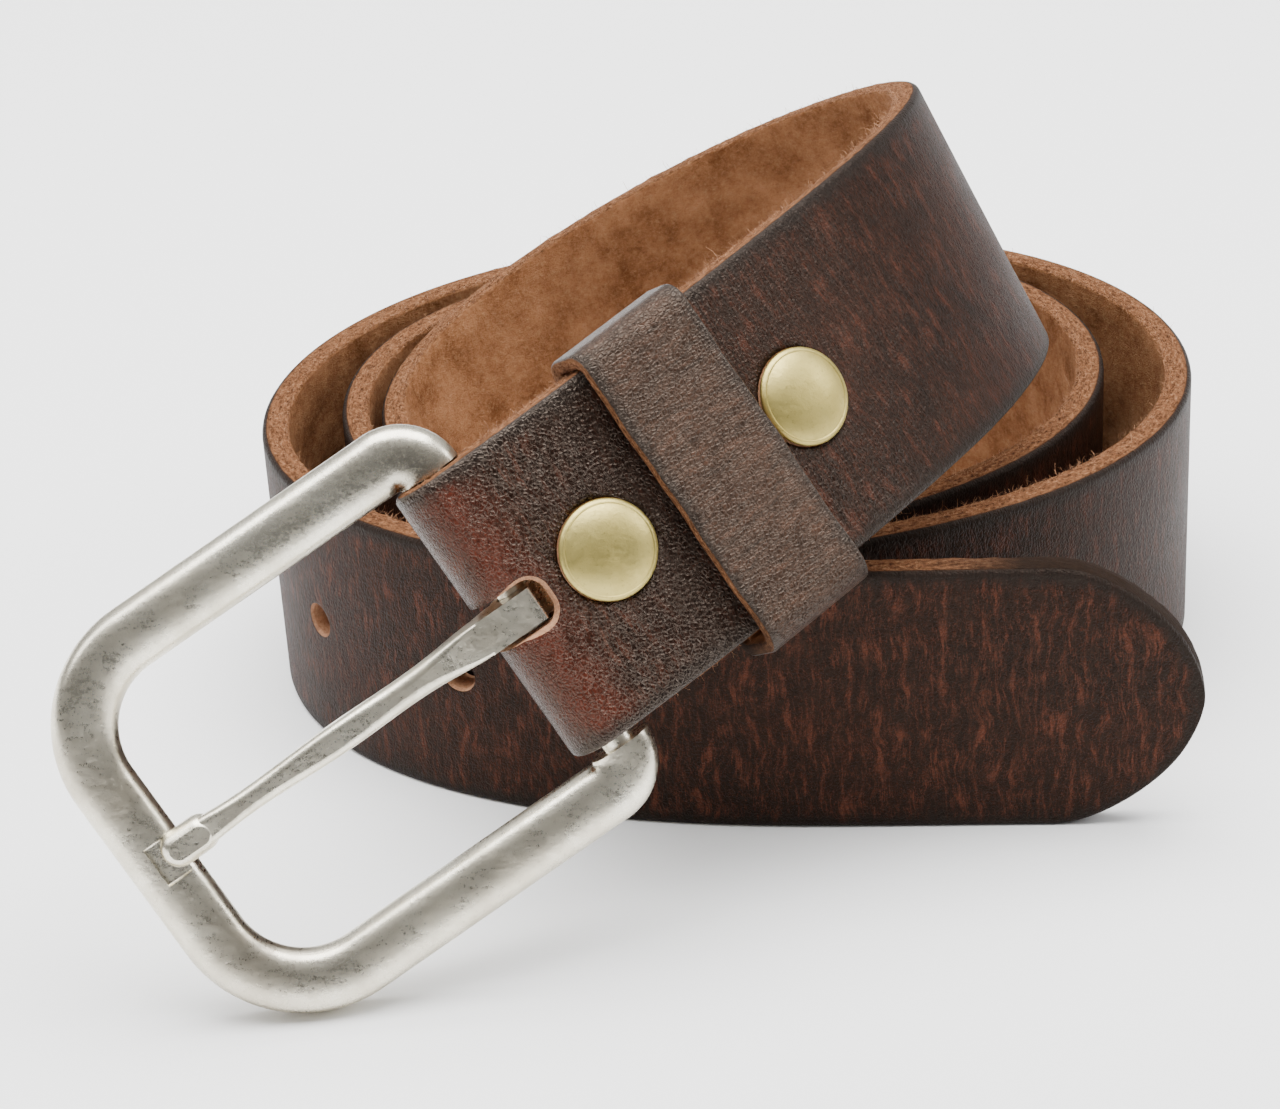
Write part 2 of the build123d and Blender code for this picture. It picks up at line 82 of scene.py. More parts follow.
def rate(schedule, s):
    """The schedule's value in degrees per SPACING at s mm from the tip."""
    place = max(0.0, (s - LEAD_IN) / SPACING)
    index = min(int(place), len(schedule) - 2)
    share = min(place - index, 1.0)
    return schedule[index] * (1 - share) + schedule[index + 1] * share


def advance(s, centre, tangent, up, length):
    middle = s + length / 2
    doubled = middle > LENGTH - DOUBLED
    bend = BEND[-1] if doubled else rate(BEND, middle)
    twist = 0 if doubled else rate(TWIST, middle)
    edge = 0 if doubled else rate(EDGE, middle)
    spin = np.radians(tangent * twist + np.cross(up, tangent) * edge - up * bend) * (length / SPACING)
    return centre + turn(tangent, spin / 2) * length, turn(tangent, spin), turn(up, spin)


def walk():
    place = (TIP_POINT, np.array([math.cos(TIP_HEADING), math.sin(TIP_HEADING), 0.0]), UP)
    places = [place]
    for index in range(round(LENGTH / STEP)):
        place = advance(index * STEP, *place, STEP)
        places.append(place)
    return places


ROUTE = walk()


def station(s):
    """Grain centre, tangent, outward normal and width direction at s mm from the tip."""
    index = min(int(s / STEP), len(ROUTE) - 1)
    centre, tangent, up = advance(index * STEP, *ROUTE[index], s - index * STEP)
    return centre, tangent, np.cross(up, tangent), up


BAR_TANGENT, BAR_NORMAL, BAR_UP = station(LENGTH)[1:]
BAR = station(LENGTH)[0] - BAR_NORMAL * (LEATHER + FOLD_RADIUS)


def smooth_outline(points, steps=6):
    """Catmull-Rom curve through the points of half an outline that starts on the middle line."""
    first = (points[1][0], -points[1][1])
    last = (2 * points[-1][0] - points[-2][0], points[-1][1])
    knots = np.array([first, *points, last], float)
    curve = []
    for i in range(1, len(knots) - 2):
        p0, p1, p2, p3 = knots[i - 1:i + 3]
        for k in range(steps):
            u = k / steps
            bend = (2 * p0 - 5 * p1 + 4 * p2 - p3) * u**2 + (3 * p1 - p0 - 3 * p2 + p3) * u**3
            curve.append(0.5 * (2 * p1 + (p2 - p0) * u + bend))
    curve.append(knots[-2])
    curve = np.array(curve)
    curve[:, 1] = np.maximum.accumulate(np.clip(curve[:, 1], 0, HALF))
    return curve


TIP_CURVE = smooth_outline(TIP_OUTLINE)


# ---------------------------------------------------------------- mesh helpers
def new_object(name, verts, faces, slots, maps=None, smooth=True):
    """maps is {uv layer: per-vertex pairs}."""
    mesh = bpy.data.meshes.new(name)
    mesh.from_pydata([tuple(p) for p in verts], [], faces)
    for slot in slots:
        mesh.materials.append(slot)
    index = np.empty(len(mesh.loops), dtype=np.int32)
    mesh.loops.foreach_get("vertex_index", index)
    for layer_name, pairs in (maps or {}).items():
        layer = mesh.uv_layers.new(name=layer_name)
        layer.data.foreach_set("uv", np.asarray(pairs, dtype=np.float32)[index].ravel())
    mesh.polygons.foreach_set("use_smooth", [smooth] * len(mesh.polygons))
    mesh.update()
    piece = bpy.data.objects.new(name, mesh)
    bpy.context.scene.collection.objects.link(piece)
    return piece


def tube_faces(rings, count):
    """Quads between rings of count vertices each, facing out where the rings run anticlockwise."""
    faces = []
    for first in range(0, (rings - 1) * count, count):
        for i in range(count):
            j = (i + 1) % count
            faces.append((first + i, first + j, first + count + j, first + count + i))
    return faces


def prism(name, outlines, slot):
    """Closed solid through a stack of equal-length outlines (lists of 3-D points)."""
    count = len(outlines[0])
    middles = [np.mean(outline, axis=0) for outline in outlines]
    winding = sum(np.cross(outlines[0][i], outlines[0][(i + 1) % count]) for i in range(count))
    if winding @ (middles[-1] - middles[0]) < 0:
        outlines = [list(reversed(outline)) for outline in outlines]
    verts = [p for outline in outlines for p in outline]
    faces = [tuple(reversed(range(count)))]
    faces += tube_faces(len(outlines), count)
    faces.append(tuple(range((len(outlines) - 1) * count, len(outlines) * count)))
    return new_object(name, np.array(verts) * MM, faces, [slot], smooth=False)


def cut(piece, cutter):
    modifier = piece.modifiers.new("cut", "BOOLEAN")
    modifier.operation = "DIFFERENCE"
    modifier.solver = "EXACT"
    modifier.object = cutter
    bpy.context.view_layer.update()
    graph = bpy.context.evaluated_depsgraph_get()
    evaluated = piece.evaluated_get(graph)
    mesh = bpy.data.meshes.new_from_object(evaluated, preserve_all_data_layers=True, depsgraph=graph)
    piece.modifiers.clear()
    piece.data = mesh
    bpy.data.objects.remove(cutter)


def hash_noise(points, seed):
    """Smooth value noise from -1 to 1 at 3-D points."""
    base = np.floor(points).astype(np.int64)
    part = points - base
    part = part * part * (3 - 2 * part)
    total = np.zeros(len(points))
    for corner in range(8):
        offset = np.array([corner & 1, (corner >> 1) & 1, (corner >> 2) & 1])
        x, y, z = (base + offset).T
        mixed = (x * 73856093) ^ (y * 19349663) ^ (z * 83492791) ^ (seed * 2654435761)
        mixed = (mixed ^ (mixed >> 13)) * 1274126177
        value = ((mixed ^ (mixed >> 16)) & 0xFFFF) / 32767.5 - 1
        weight = np.prod(np.where(offset == 1, part, 1 - part), axis=1)
        total += value * weight
    return total


# ---------------------------------------------------------------- materials
class Nodes:
    """Short names for building a material's node tree."""

    def __init__(self, name):
        self.material = bpy.data.materials.new(name)
        self.material.use_nodes = True
        self.tree = self.material.node_tree
        self.tree.nodes.clear()
        self.shader = self.tree.nodes.new("ShaderNodeBsdfPrincipled")
        output = self.tree.nodes.new("ShaderNodeOutputMaterial")
        self.tree.links.new(self.shader.outputs[0], output.inputs[0])

    def put(self, socket, value):
        if isinstance(value, bpy.types.NodeSocket):
            self.tree.links.new(value, socket)
        else:
            socket.default_value = value

    def shade(self, **values):
        """Sets or links the shader's inputs; an underscore stands for a space in a name."""
        for key, value in values.items():
            self.put(self.shader.inputs[key.replace("_", " ")], value)

    def node(self, kind, inputs=None, **settings):
        made = self.tree.nodes.new(kind)
        for key, value in settings.items():
            setattr(made, key, value)
        for key, value in (inputs or {}).items():
            self.put(made.inputs[key], value)
        return made

    def math(self, operation, a, b=0.5):
        return self.node("ShaderNodeMath", {0: a, 1: b}, operation=operation).outputs[0]

    def times(self, a, b):
        return self.math("MULTIPLY", a, b)

    def plus(self, a, b):
        return self.math("ADD", a, b)

    def off_middle(self, value):
        """How far a noise is from 0.5: thin dark lines where it crosses."""
        return self.math("ABSOLUTE", self.math("SUBTRACT", value, 0.5))

    def spread(self, value, low, high, to_low=0.0, to_high=1.0):
        inputs = {"Value": value, "From Min": low, "From Max": high, "To Min": to_low, "To Max": to_high}
        return self.node("ShaderNodeMapRange", inputs, clamp=True).outputs[0]

    def mix(self, share, a, b):
        return self.node("ShaderNodeMix", {0: share, 6: a, 7: b}, data_type="RGBA").outputs[2]

    def mix_value(self, share, a, b):
        return self.node("ShaderNodeMix", {0: share, 2: a, 3: b}, data_type="FLOAT").outputs[0]

    def vector(self, operation, a, b):
        return self.node("ShaderNodeVectorMath", {0: a, 1: b}, operation=operation).outputs[0]

    def scaled(self, vector, scale):
        return self.vector("MULTIPLY", vector, scale)

    def noise(self, vector, scale=1.0, detail=4.0, rough=0.55, output="Fac"):
        inputs = {"Vector": vector, "Scale": scale, "Detail": detail, "Roughness": rough}
        return self.node("ShaderNodeTexNoise", inputs).outputs[output]

    def cells(self, vector):
        inputs = {"Vector": vector, "Scale": 1.0}
        return self.node("ShaderNodeTexVoronoi", inputs, feature="DISTANCE_TO_EDGE").outputs["Distance"]

    def bump(self, height, distance):
        inputs = {"Height": height, "Distance": distance, "Strength": 1.0}
        return self.node("ShaderNodeBump", inputs).outputs[0]

    def uv_pair(self, name):
        layer = self.node("ShaderNodeUVMap", uv_map=name).outputs[0]
        return self.node("ShaderNodeSeparateXYZ", {0: layer}).outputs


def rgb(r, g, b):
    return (r, g, b, 1.0)


STREAK_BLACK = rgb(0.005, 0.0021, 0.0015)
# painted shadow on the grain beside the keeper
KEEPER_SHADOW = rgb(0.006, 0.0025, 0.0018)
# painted red sheen on the roll at the bar
PAINTED_ROLL_SHEEN = rgb(0.080, 0.014, 0.007)
PIT_BROWN = rgb(0.012, 0.006, 0.004)
BURNISHED = rgb(0.010, 0.007, 0.006)
EDGE_DYE = rgb(0.014, 0.009, 0.007)
RAW_DARK, RAW_LIGHT = rgb(0.080, 0.031, 0.013), rgb(0.28, 0.122, 0.057)
RAW_PALE, RAW_DEEP = rgb(0.44, 0.235, 0.125), rgb(0.025, 0.010, 0.005)
FLESH_DARK, FLESH_LIGHT = rgb(0.17, 0.064, 0.023), rgb(0.42, 0.193, 0.089)
FLESH_PALE, FLESH_DEEP = rgb(0.50, 0.28, 0.145), rgb(0.07, 0.025, 0.010)
WAX_TINT = rgb(1.0, 0.80, 0.64)


class Leather(Nodes):
    """Grain face, raw edges and flesh side of one strip, told apart by its UV maps."""

    def __init__(self, name):
        super().__init__(name)
        along, depth = self.uv_pair("along"), self.uv_pair("depth")
        self.s, self.level, self.zone = along[0], depth[0], depth[1]
        self.rim = self.uv_pair("rim")[0]
        corner = {0: along[0], 1: along[1], 2: depth[0]}
        self.place = self.node("ShaderNodeCombineXYZ", corner).outputs[0]
        self.mottle = self.noise(self.scaled(self.place, (0.30, 0.20, 0.3)), detail=6.0, rough=0.68)
        self.fine = self.noise(self.scaled(self.place, (1.6, 1.1, 1.0)), rough=0.65)
        self.crumb = self.noise(self.scaled(self.place, (1.5, 2.0, 2.0)), detail=6.0, rough=0.78)
        self.layers = self.noise(self.scaled(self.place, (0.7, 1.4, 3.0)), detail=5.0, rough=0.7)
        broad = self.noise(self.scaled(self.place, (0.03, 0.045, 0.2)), detail=3.0)
        self.tone = self.plus(self.times(broad, 0.6), self.times(self.mottle, 0.4))
        self.wandering = self.wander(self.place, 0.11, (3.2, 1.2, 0.0))
        pebbles = self.wander(self.place, 0.9, (0.8, 0.8, 0.0), self.scaled(self.place, (2.1, 1.7, 1.6)))
        self.pebbles = self.spread(self.cells(pebbles), 0.0, 0.25)

    def wander(self, place, scale, reach, start=None):
        """The start (or the place) moved about by a slow noise, so that marks on it bend."""
        push = self.noise(place, scale, 2.0, 0.5, "Color")
        return self.vector("ADD", place if start is None else start, self.scaled(push, reach))

    def streaked(self, tones, vein):
        """The dyed grain: a mottled ground with red veins and black streaks across the strap."""
        dark, middle, red = tones
        streak = self.noise(self.scaled(self.wandering, (1.0, 0.16, 0.3)), detail=6.0, rough=0.70)
        thread = self.noise(self.scaled(self.wandering, (1.3, 0.30, 0.3)), detail=3.0, rough=0.6)
        threads = self.times(self.spread(self.off_middle(thread), 0.03, 0.0), 0.7)
        veins = self.math("MAXIMUM", self.spread(streak, 0.52, 0.61), threads)
        veins = self.times(veins, self.spread(self.mottle, 0.36, 0.56, 0.25, 1.0))
        veins = self.times(veins, self.spread(self.s, 60.0, 240.0, 0.8 * vein, 0.4 * vein))
        colour = self.mix(self.spread(self.tone, 0.38, 0.64), dark, middle)
        colour = self.mix(veins, colour, red)
        return self.mix(self.spread(streak, 0.46, 0.36, 0.0, 0.7), colour, STREAK_BLACK)

    def wear_and_painted_light(self, colour, red):
        """Painted shadow beside the keeper, a painted red sheen on the roll at the bar, pits, and burnished
        rims.
        """
        # painted shadow: the grain is darkened beside the keeper, towards the snap
        keeper_shadow_share = self.times(self.spread(self.s, 985.0, 991.0), self.spread(self.s, 1004.0, 994.0))
        colour = self.mix(self.times(keeper_shadow_share, 0.8), colour, KEEPER_SHADOW)
        # painted sheen: a red band along the roll at the bar, broken up by the mottle
        roll_sheen = self.times(self.spread(self.s, 1005.0, 1010.5), self.spread(self.s, 1019.0, 1012.0))
        roll_sheen = self.times(roll_sheen, self.spread(self.mottle, 0.32, 0.58, 0.3, 0.9))
        colour = self.mix(roll_sheen, colour, PAINTED_ROLL_SHEEN)
        colour = self.mix(self.spread(self.fine, 0.56, 0.74, 0.0, 0.2), colour, red)
        colour = self.mix(self.times(self.spread(self.pebbles, 0.5, 0.0), 0.5), colour, PIT_BROWN)
        uneven = self.plus(self.rim, self.spread(self.mottle, 0.3, 0.7, -0.6, 0.6))
        return self.mix(self.times(self.spread(uneven, 2.6, 1.0), 0.93), colour, BURNISHED)

    def raw_edge(self, dye_from, dye_to):
        """Layered, crumbly leather, dyed from the grain down, and all round the tip."""
        colour = self.mix(self.spread(self.layers, 0.36, 0.66), RAW_DARK, RAW_LIGHT)
        colour = self.mix(self.spread(self.crumb, 0.52, 0.68, 0.0, 0.8), colour, RAW_PALE)
        colour = self.mix(self.spread(self.crumb, 0.47, 0.36, 0.0, 0.9), colour, RAW_DEEP)
        ragged = self.plus(self.level, self.spread(self.crumb, 0.3, 0.7, -0.4, 0.4))
        tip = self.times(self.spread(self.s, 40.0, 24.0), 0.97)
        return self.mix(self.math("MAXIMUM", self.spread(ragged, -dye_to, -dye_from), tip), colour, EDGE_DYE)

    def flesh_side(self):
        nap = self.noise(self.scaled(self.place, (0.14, 0.14, 0.2)), detail=6.0, rough=0.72)
        colour = self.mix(self.spread(nap, 0.35, 0.65), FLESH_DARK, FLESH_LIGHT)
        colour = self.mix(self.spread(self.crumb, 0.5, 0.75, 0.0, 0.6), colour, FLESH_PALE)
        return self.mix(self.spread(self.crumb, 0.45, 0.3, 0.0, 0.5), colour, FLESH_DEEP)

    def relief(self, shine):
        """Pebbles and wrinkles of the grain; they are shallower where the leather shines."""
        wrinkle = self.noise(self.scaled(self.wandering, (0.9, 0.35, 0.3)), rough=0.6)
        wrinkles = self.spread(self.off_middle(wrinkle), 0.0, 0.06)
        pebbled = self.times(self.pebbles, self.mix_value(shine, 0.4, 0.75))
        wrinkled = self.times(wrinkles, self.mix_value(shine, 0.55, 0.3))
        return self.plus(self.plus(pebbled, wrinkled), self.times(self.fine, 0.3))


def leather_material(name, tones, gloss, dye=(0.25, 0.8), vein=1.0):
    """gloss is (from s, to s, roughness before, roughness after); dye is how deep the edges are dyed."""
    n = Leather(name)
    shine = n.spread(n.s, gloss[0], gloss[1])
    is_edge = n.spread(n.zone, 0.3, 0.6)
    is_flesh = n.spread(n.zone, 1.3, 1.7)
    grain = n.wear_and_painted_light(n.streaked(tones, vein), tones[2])
    rough = n.plus(n.mix_value(shine, gloss[2], gloss[3]), n.spread(n.tone, 0.35, 0.65, -0.04, 0.06))
    height = n.mix_value(is_edge, n.relief(shine), n.plus(n.layers, n.times(n.crumb, 4.2)))
    height = n.times(height, n.mix_value(shine, 1.0, 0.7))
    n.shade(Base_Color=n.mix(is_flesh, n.mix(is_edge, grain, n.raw_edge(*dye)), n.flesh_side()))
    n.shade(Roughness=n.mix_value(is_edge, rough, 0.92), Specular_Tint=WAX_TINT)
    n.shade(Specular_IOR_Level=n.mix_value(is_edge, n.mix_value(shine, 0.15, 0.42), 0.12))
    n.shade(Normal=n.bump(height, 0.00014))
    return n.material


def raw_material():
    """The pale raw leather inside holes and slots."""
    n = Nodes("raw_leather")
    place = n.node("ShaderNodeTexCoord").outputs["Object"]
    fibre = n.noise(place, 2600.0, 5.0, 0.7)
    tone = n.plus(n.times(fibre, 0.6), n.times(n.noise(place, 500.0, 3.0), 0.4))
    colour = n.mix(n.spread(tone, 0.35, 0.65), rgb(0.22, 0.095, 0.045), rgb(0.50, 0.27, 0.15))
    n.shade(Base_Color=colour, Roughness=0.85, Normal=n.bump(fibre, 0.0002))
    return n.material


def fibre_material():
    n = Nodes("leather_fibres")
    tone = n.noise(n.node("ShaderNodeTexCoord").outputs["Object"], 900.0, 4.0, 0.7)
    colour = n.mix(n.spread(tone, 0.35, 0.65), rgb(0.17, 0.070, 0.030), rgb(0.52, 0.27, 0.14))
    n.shade(Base_Color=colour, Roughness=0.85)
    return n.material


def metal_material(name, colour, shade, patina, rough, grain=1.0):
    """Aged metal: fine scratches, a darker film in patches, and small dark pits."""
    n = Nodes(name)
    place = n.node("ShaderNodeTexCoord").outputs["Object"]
    scratch = n.noise(n.scaled(place, (2600, 500, 2600)), rough=0.7)
    cross = n.noise(n.scaled(place, (420, 2400, 900)), rough=0.7)
    patches = n.noise(place, 110.0, 6.0, 0.68)
    cloud = n.noise(place, 45.0, 3.0, 0.6)
    specks = n.noise(place, 1900.0, 4.0, 0.7)
    tone = n.mix(n.spread(patches, 0.36, 0.66), colour, shade)
    tone = n.mix(n.times(n.spread(cloud, 0.42, 0.66), 0.45), tone, patina)
    tone = n.mix(n.times(n.spread(specks, 0.57, 0.72), 0.35 * grain), tone, patina)
    marks = n.plus(n.times(scratch, 0.5), n.times(cross, 0.5))
    wear = n.plus(n.spread(marks, 0.35, 0.65, -0.05, 0.10), n.spread(patches, 0.3, 0.7, -0.05, 0.10))
    height = n.plus(n.plus(n.times(marks, 0.5), n.times(specks, 0.6)), n.times(patches, 4.0))
    n.shade(Base_Color=tone, Metallic=1.0, Roughness=n.plus(wear, rough), Normal=n.bump(height, 0.00003))
    return n.material


GLOSS_FROM, GLOSS_TO = 940, 1000
STRAP_TONES = (rgb(0.0060, 0.0022, 0.0014), rgb(0.018, 0.0063, 0.0037), rgb(0.115, 0.033, 0.018))
KEEPER_TONES = (rgb(0.014, 0.0058, 0.0034), rgb(0.035, 0.0170, 0.0105), rgb(0.115, 0.052, 0.032))
NICKEL_TONES = (rgb(0.88, 0.835, 0.70), rgb(0.69, 0.635, 0.505), rgb(0.26, 0.21, 0.145))
BRASS_TONES = (rgb(0.58, 0.48, 0.165), rgb(0.47, 0.38, 0.12), rgb(0.17, 0.13, 0.04))
WIRE_TONES = (rgb(0.55, 0.55, 0.55), rgb(0.42, 0.42, 0.41), rgb(0.25, 0.25, 0.24))
strap_leather = leather_material("strap_leather", STRAP_TONES, (GLOSS_FROM, GLOSS_TO, 0.5, 0.24))
keeper_leather = leather_material("keeper_leather", KEEPER_TONES, (0, 1, 0.36, 0.36), (0.0, 0.25), 0.5)
raw_leather = raw_material()
fibre_leather = fibre_material()
nickel = metal_material("nickel", *NICKEL_TONES, 0.25)
brass = metal_material("antique_brass", *BRASS_TONES, 0.41, 1.3)
wire = metal_material("steel_wire", *WIRE_TONES, 0.3)

# ---------------------------------------------------------------- strap
BEVEL_GRAIN = 0.8
BEVEL_FLESH = 0.4
EDGE_SWELL = 0.12
EDGE_ROUGHNESS = 0.2
ACROSS = 26
TIP_RINGS = 30
RIM_REACH = 30
WRAP_STEPS, CLIMB_STEPS, RETURN_STEPS, LAP_STEPS = 40, 3, 12, 40
WRAP_RATE, RETURN_RATE = 6, 3


def cross_section(half, thick):
    """(d, share of thickness from grain to flesh, zone) round the strap's section."""
    top = min(BEVEL_GRAIN, half * 0.6)
    low = min(BEVEL_FLESH, half * 0.5)
    grain = [((2 * i / ACROSS - 1) * (half - top), 0.0, 0.0) for i in range(ACROSS + 1)]
    side = []
    for angle in (25, 50, 75):
        a = math.radians(angle)
        share = top * (1 - math.cos(a)) / thick
        side.append((half - top + top * math.sin(a), share, 0.12 + 0.3 * angle / 90))
    for i in range(6):
        share = (top + (thick - top - low) * i / 5) / thick
        side.append((half + EDGE_SWELL * math.sin(math.pi * i / 5), share, 1.0))
    for angle in (30, 60):
        a = math.radians(angle)
        share = 1 - low * (1 - math.sin(a)) / thick
        side.append((half - low + low * math.cos(a), share, 1.2 + 0.4 * angle / 90))
    flesh = [((1 - 4 * i / ACROSS) * (half - low), 1.0, 2.0) for i in range(ACROSS // 2 + 1)]
    return grain + side + flesh + [(-d, share, zone) for d, share, zone in reversed(side)]


def swing(start, final, steps):
    """Unit vectors from start (left out) to final along the shorter arc, each with its angle."""
    total = math.acos(np.clip(start @ final, -1, 1))
    side = final - start * (start @ final)
    side = side / np.linalg.norm(side)
    angles = [total * i / steps for i in range(1, steps + 1)]
    return [(start * math.cos(a) + side * math.sin(a), a) for a in angles]


def fold_rings():
    """Grain and flesh centres from the bar round to the folded end, as (grain, flesh, s)."""
    radius = SPACING / math.radians(BEND[-1])
    back_radius = radius - LEATHER - PLY_GAP
    t, n = BAR_TANGENT, BAR_NORMAL
    bend_centre = station(LENGTH)[0] - n * radius
    climb = -t * math.cos(FOLD_SLOPE) + n * math.sin(FOLD_SLOPE)
    beside = -t * math.sin(FOLD_SLOPE) - n * math.cos(FOLD_SLOPE)
    foot = BAR + beside * (FOLD_RADIUS + FOLD_RETURN) - bend_centre
    along = foot @ climb
    reach = back_radius - FOLD_RETURN
    climb_length = math.sqrt(along**2 - foot @ foot + reach**2) - along
    return_centre = bend_centre + foot + climb * climb_length
    off = (LEATHER - BACK_LEATHER) / (1 + math.cos(FOLD_SLOPE))
    grain_centre = BAR + n * off
    grain_radius = FOLD_RADIUS + LEATHER - off
    wrap = math.pi + FOLD_SLOPE
    rings = []
    s = LENGTH
    for i in range(1, WRAP_STEPS + 1):
        a = wrap * i / WRAP_STEPS
        way = n * math.cos(a) + t * math.sin(a)
        rings.append((grain_centre + way * grain_radius, BAR + way * FOLD_RADIUS, s + WRAP_RATE * a))
    s += WRAP_RATE * wrap
    grain_end, flesh_end, _ = rings[-1]
    for i in range(1, CLIMB_STEPS + 1):
        shift = climb * climb_length * i / CLIMB_STEPS
        rings.append((grain_end + shift, flesh_end + shift, s + climb_length * i / CLIMB_STEPS))
    s += climb_length
    final = return_centre - bend_centre
    final = final / np.linalg.norm(final)
    for out, a in swing(-way, final, RETURN_STEPS):
        grain = return_centre + out * (FOLD_RETURN - BACK_LEATHER)
        rings.append((grain, return_centre + out * FOLD_RETURN, s + RETURN_RATE * a))
    s += RETURN_RATE * a
    end_way = station(LENGTH - DOUBLED + 2)[2]
    for out, a in swing(final, end_way, LAP_STEPS):
        grain = bend_centre + out * (back_radius - BACK_LEATHER)
        rings.append((grain, bend_centre + out * back_radius, s + a * radius))
    return rings


def strap_rings():
    """(grain centre, flesh centre, width direction, s, half width) from the tip to the folded end."""
    places = []
    first = TIP_CURVE[:, 0].min() + 0.05
    for share in np.linspace(0, 1, TIP_RINGS):
        s = first + (TIP_LENGTH - first) * share**1.6
        places.append((s, float(np.interp(s, TIP_CURVE[:, 0], TIP_CURVE[:, 1]))))
    s = TIP_LENGTH + STEP
    while s < LENGTH + 0.01:
        places.append((s, HALF))
        s += STEP
    rings = []
    for s, half in places:
        centre, _, normal, up = station(s)
        rings.append((centre, centre - normal * LEATHER, up, s, half))
    for grain, flesh, s in fold_rings():
        rings.append((grain, flesh, BAR_UP, s, HALF))
    return rings


def rim_distance(s, d, half):
    """Distance in mm from the edge of the grain face."""
    if s > RIM_REACH:
        return half - abs(d)
    behind = s - float(np.interp(abs(d), TIP_CURVE[:, 1], TIP_CURVE[:, 0]))
    return min(half - abs(d), behind)


def build_strap():
    verts, along, depth, rim = [], [], [], []
    rings = strap_rings()
    for grain, flesh, up, s, half in rings:
        inward = flesh - grain
        thick = float(np.linalg.norm(inward))
        for d, share, zone in cross_section(half, thick):
            verts.append(grain + up * d + inward * share)
            along.append((s, d))
            depth.append((-share * thick, zone))
            rim.append((rim_distance(s, d, half), 0))
    verts, along, depth = np.array(verts), np.array(along), np.array(depth)
    count = len(cross_section(HALF, LEATHER))
    # the raw edges are uneven, and nothing reaches below the floor
    where = np.column_stack([along, depth[:, :1]])
    rough = hash_noise(where * [0.8, 1.5, 1.3], 3) * 0.6 + hash_noise(where * [2.0, 3.0, 2.6], 5) * 0.4
    ups = np.repeat(np.array([ring[2] for ring in rings]), count, axis=0)
    on_edge = ((depth[:, 1] > 0.5) & (depth[:, 1] < 1.5)).astype(float)
    verts += ups * (np.sign(along[:, 1]) * rough * on_edge * EDGE_ROUGHNESS)[:, None]
    verts[:, 2] = np.maximum(verts[:, 2], 0.0)
    faces = tube_faces(len(rings), count)
    faces.append(tuple(reversed(range(count))))
    last = (len(rings) - 1) * count
    faces.append(tuple(range(last, last + count)))
    maps = {"along": along, "depth": depth, "rim": rim}
    return new_object("strap", verts * MM, faces, [strap_leather, raw_leather], maps=maps)


def disc(centre, x_way, y_way, radius, count=40):
    turns = [2 * math.pi * i / count for i in range(count)]
    return [centre + x_way * radius * math.cos(a) + y_way * radius * math.sin(a) for a in turns]


def slot_outline(grow):
    """Outline in (along, across) of the prong's slot: rounded at its start, open past the roll."""
    half = SLOT_WIDTH / 2 + grow
    corner = SLOT_CORNER + grow
    start = corner - SLOT_REACH - grow
    points = [(SLOT_END, -half)]
    for first, middle in ((270, corner - half), (180, half - corner)):
        for i in range(9):
            a = math.radians(first - 90 * i / 8)
            points.append((start + corner * math.cos(a), middle + corner * math.sin(a)))
    points.append((SLOT_END, half))
    return points


def at_bar(along, across, out):
    return BAR + BAR_TANGENT * along + BAR_UP * across + BAR_NORMAL * out


def cut_slot(piece):
    """The slot, flared under the grain, then the room in the fold for the prong's eye and base."""
    levels = [(0.4, 0.0), (5.6, 0.0), (6.2, 0.35), (7.4, 1.5)]
    outlines = [[at_bar(x, y, out) for x, y in slot_outline(grow)] for out, grow in levels]
    cut(piece, prism("slot_top", outlines, raw_leather))
    side = SLOT_WIDTH / 2
    box = [(-WELL_RADIUS, -side), (SLOT_END, -side), (SLOT_END, side), (-WELL_RADIUS, side)]
    outlines = [[at_bar(x, y, out) for x, y in box] for out in (-12, 2.4)]
    cut(piece, prism("slot_low", outlines, raw_leather))
    outlines = [disc(BAR + BAR_UP * y, BAR_NORMAL, BAR_TANGENT, WELL_RADIUS) for y in (-side, side)]
    cut(piece, prism("slot_well", outlines, raw_leather))


def drill(piece, name, s, stack, count=40):
    """Cuts discs of (level, radius) at s mm from the tip."""
    centre, tangent, normal, up = station(s)
    outlines = [disc(centre + normal * level, tangent, up, radius, count) for level, radius in stack]
    cut(piece, prism(name, outlines, raw_leather))


SLOT_WIDTH = 6.2
SLOT_REACH = 2.7
SLOT_CORNER = 2.4
SLOT_END = 12
WELL_RADIUS = 5.6
HOLES = 5
FIRST_HOLE = 97.5
HOLE_PITCH = 25
HOLE_STACK = [(-4.2, 2.25), (-0.45, 2.25), (0.4, 2.6)]
SNAPS = (998.5, 966.3)
CAP_SEAT = [(-0.17, 6.24), (1.0, 6.24)]
SNAP_BORE = [(-6.4, 1.32), (-4.5, 1.32), (-4.42, 4.27), (-3.74, 4.27)]
SNAP_BORE += [(-3.7, 5.08), (-1.58, 5.08), (-1.56, 1.67), (0, 1.67)]
POST_SEAT = [(-7.5, 4.3), (-6.08, 4.3)]

strap = build_strap()
cut_slot(strap)
for index in range(HOLES):
    drill(strap, "hole", FIRST_HOLE + HOLE_PITCH * index, HOLE_STACK)
for place in SNAPS:
    drill(strap, "seat", place, CAP_SEAT, 64)
    drill(strap, "bore", place, SNAP_BORE)
    drill(strap, "post_seat", place, POST_SEAT)

FIBRES = 14000
FIBRE_SEED = 12
FIBRE_POINTS = 4
DYED_TIP = 46
FLOOR_CLEARANCE = 1.5
SKIN_DEPTH = 0.9


